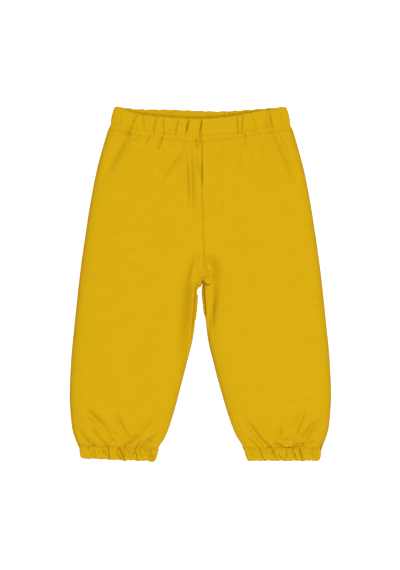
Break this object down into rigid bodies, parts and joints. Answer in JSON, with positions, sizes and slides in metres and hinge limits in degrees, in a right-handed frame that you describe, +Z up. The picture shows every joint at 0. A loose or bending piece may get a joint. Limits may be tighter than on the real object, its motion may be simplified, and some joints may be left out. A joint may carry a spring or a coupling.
{
  "type": "pull-on pants",
  "caption": "Child's pull-on jersey pants lying flat: gathered elastic waistband, sewn mock fly, wide legs, gathered elastic cuffs.",
  "frame": {"origin": "on the table, under the middle of the garment's length and width", "axes": "+Y to the waist, +X to the wearer's left, +Z up out of the table, from the back of the pants to the front"},
  "size_m": [0.2978, 0.4074, 0.0263],
  "materials": {
    "jersey": "matt mustard-yellow cotton jersey",
    "thread": "matt polyester thread, tone on tone",
    "overlock": "overlocked jersey edge, thread over cloth",
    "elastic": "woven white elastic",
    "label": "plain white satin tape, blank"
  },
  "bodies": {
    "seat": {"waistband_casing": "jersey", "waist_elastic": "elastic", "waistband_topstitch": "thread", "left_front_panel_upper": "jersey", "right_front_panel_upper": "jersey", "left_back_panel_upper": "jersey", "right_back_panel_upper": "jersey", "fly_facing": "jersey", "fly_topstitch": "thread", "left_side_seam_upper": "overlock", "right_side_seam_upper": "overlock", "left_inseam_upper": "overlock", "right_inseam_upper": "overlock", "centre_front_seam": "overlock", "centre_back_seam": "overlock", "care_label": "label"},
    "left_lower_leg": {"left_front_panel_lower": "jersey", "left_back_panel_lower": "jersey", "left_side_seam_lower": "overlock", "left_inseam_lower": "overlock", "left_cuff_casing": "jersey", "left_cuff_elastic": "elastic", "left_cuff_topstitch": "thread"},
    "right_lower_leg": {"right_front_panel_lower": "jersey", "right_back_panel_lower": "jersey", "right_side_seam_lower": "overlock", "right_inseam_lower": "overlock", "right_cuff_casing": "jersey", "right_cuff_elastic": "elastic", "right_cuff_topstitch": "thread"}
  },
  "joints": [
    {"name": "left_knee_fold", "type": "hinge", "parent": "seat", "child": "left_lower_leg", "pos_m": [0.081, -0.09, 0.028], "axis": [-1, 0, 0], "range_deg": [0, 170]},
    {"name": "right_knee_fold", "type": "hinge", "parent": "seat", "child": "right_lower_leg", "pos_m": [-0.081, -0.09, 0.028], "axis": [-1, 0, 0], "range_deg": [0, 170]}
  ]
}
